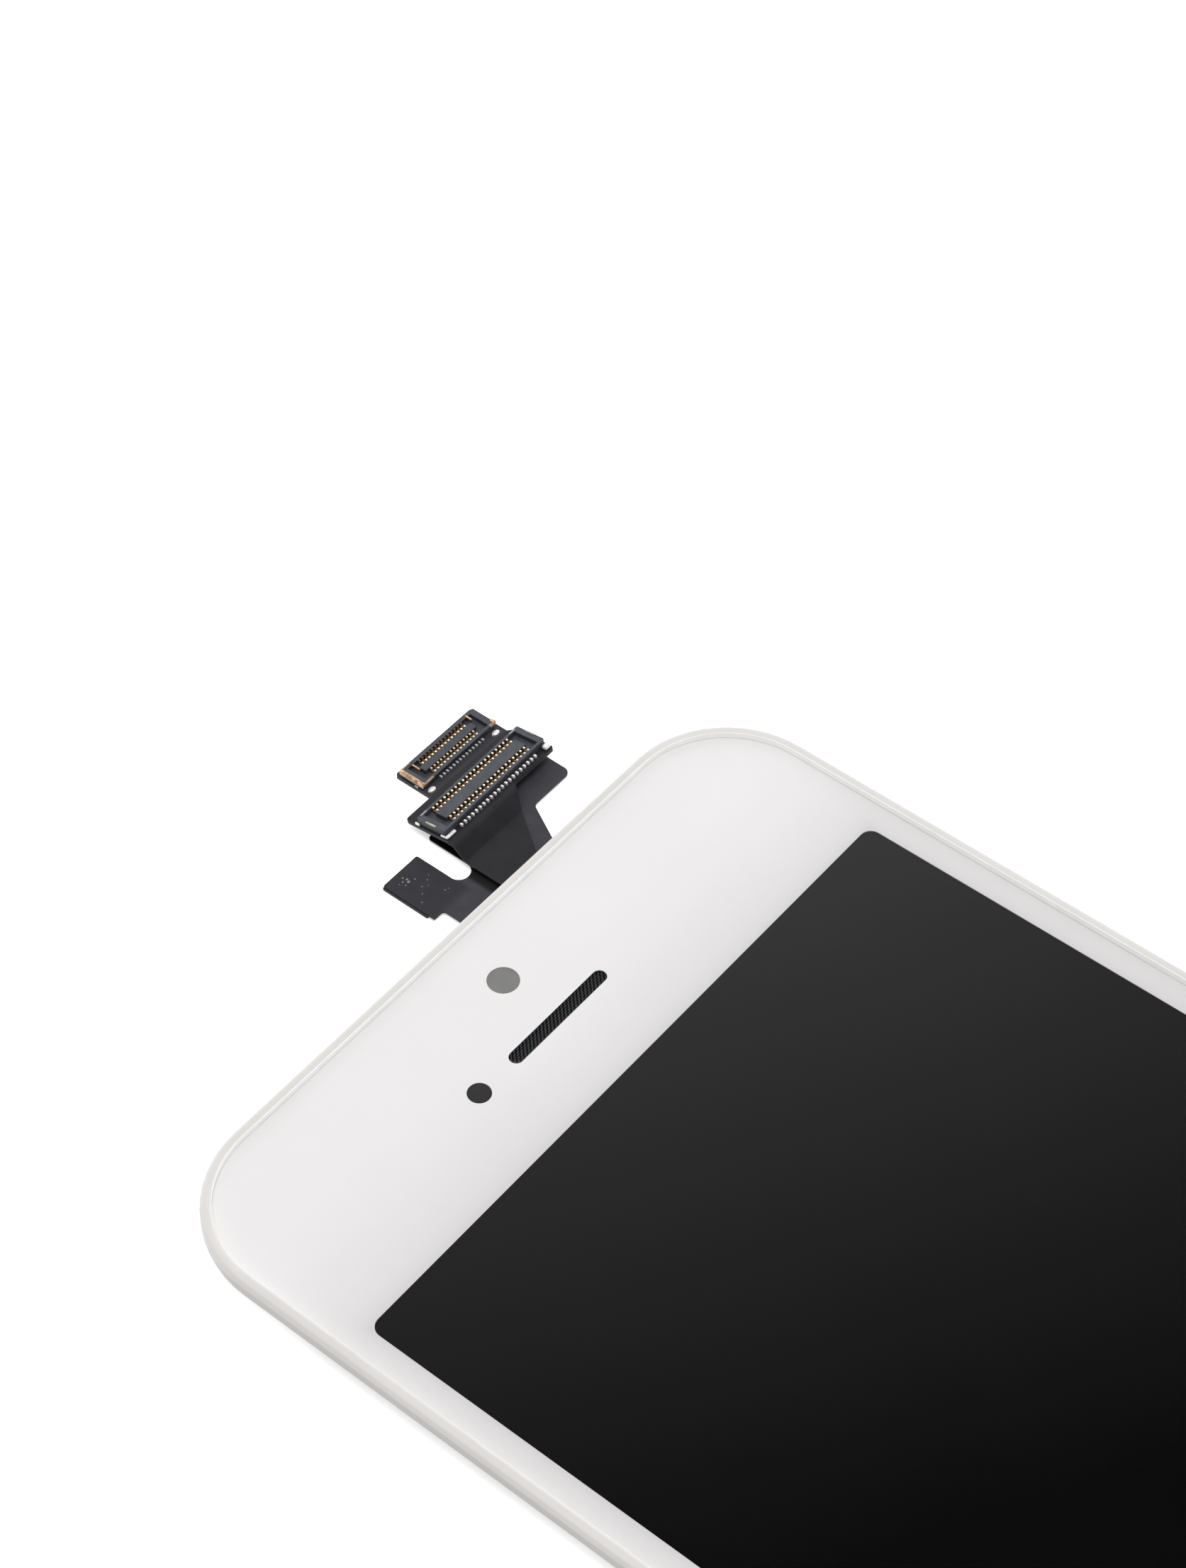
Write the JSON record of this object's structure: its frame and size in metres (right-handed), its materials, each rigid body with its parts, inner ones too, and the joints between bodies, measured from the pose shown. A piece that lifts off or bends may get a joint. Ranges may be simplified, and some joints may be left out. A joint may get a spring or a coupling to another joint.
{
  "type": "phone lcd screen assembly",
  "caption": "Phone display assembly: white-bordered cover glass in a plastic frame, display cell, backlight in a steel tray, and flexible circuits with board connectors.",
  "frame": {"origin": "centre of the panel's outline, on the flat back face of the backlight's steel tray, the plane the assembly rests on", "axes": "+X across the width, to the right seen from the front with the connectors at the top; +Y along the length towards the end the flexible circuits leave from; +Z out of the screen"},
  "size_m": [0.0564, 0.1344, 0.0027],
  "materials": {
    "cover_glass": "clear polished glass with a small ground edge",
    "border_print": "white ink printed on the back of the glass",
    "clear_adhesive": "clear optical bonding layer",
    "polarizer": "dark polarizing film",
    "cell_glass": "thin display glass",
    "chip": "dull dark silicon",
    "optical_film": "milky prism film",
    "light_guide": "clear moulded acrylic",
    "reflector": "white reflecting film",
    "circuit_film": "dark matt flexible circuit",
    "led_body": "white moulded body with a yellow phosphor face",
    "white_plastic": "white moulded plastic",
    "black_tape": "black tape",
    "tray_steel": "thin rolled stainless steel",
    "bezel_plastic": "white moulded plastic, semi-gloss",
    "frame_adhesive": "grey hot-melt adhesive",
    "rail_steel": "pressed stainless steel",
    "mesh": "black fine woven mesh",
    "foam": "black foam",
    "window_film": "smoky translucent film",
    "ring_plastic": "black moulded plastic",
    "dark_filter": "dark filter glass",
    "flex_circuit": "dark matt flexible circuit with faint tracks",
    "stiffener": "dark stiffener sheet",
    "connector_plastic": "dark moulded plastic",
    "gold_contacts": "gold-plated contacts with tinned tails",
    "tinned_metal": "tinned metal",
    "copper_metal": "copper-coloured plated metal",
    "solder": "bright solder"
  },
  "bodies": {
    "root": {"cover_glass": "cover_glass", "printed_border": "border_print", "screen_adhesive": "clear_adhesive", "front_polarizer": "polarizer", "colour_filter_glass": "cell_glass", "tft_glass": "cell_glass", "driver_chip": "chip", "rear_polarizer": "polarizer", "prism_film_upper": "optical_film", "prism_film_lower": "optical_film", "diffuser_film": "optical_film", "light_guide": "light_guide", "reflector_film": "reflector", "led_strip": "circuit_film", "backlight_leds": "led_body", "backlight_frame": "white_plastic", "rim_tape": "black_tape", "backlight_tray": "tray_steel", "bezel_frame": "bezel_plastic", "glass_adhesive": "frame_adhesive", "left_rail": "rail_steel", "right_rail": "rail_steel", "left_screw_lug": "rail_steel", "right_screw_lug": "rail_steel", "earpiece_mesh": "mesh", "earpiece_gasket": "foam", "camera_window_film": "window_film", "camera_ring": "ring_plastic", "sensor_filter": "dark_filter", "sensor_holder": "ring_plastic", "lower_flex": "flex_circuit", "tail_stiffener": "stiffener", "end_stiffener": "stiffener", "upper_flex": "flex_circuit", "near_stiffener": "stiffener", "near_connector_housing": "connector_plastic", "near_connector_contacts": "gold_contacts", "near_connector_fittings": "tinned_metal", "far_connector_housing": "connector_plastic", "far_connector_contacts": "gold_contacts", "far_connector_caps": "copper_metal", "solder_pads": "solder"}
  },
  "joints": []
}
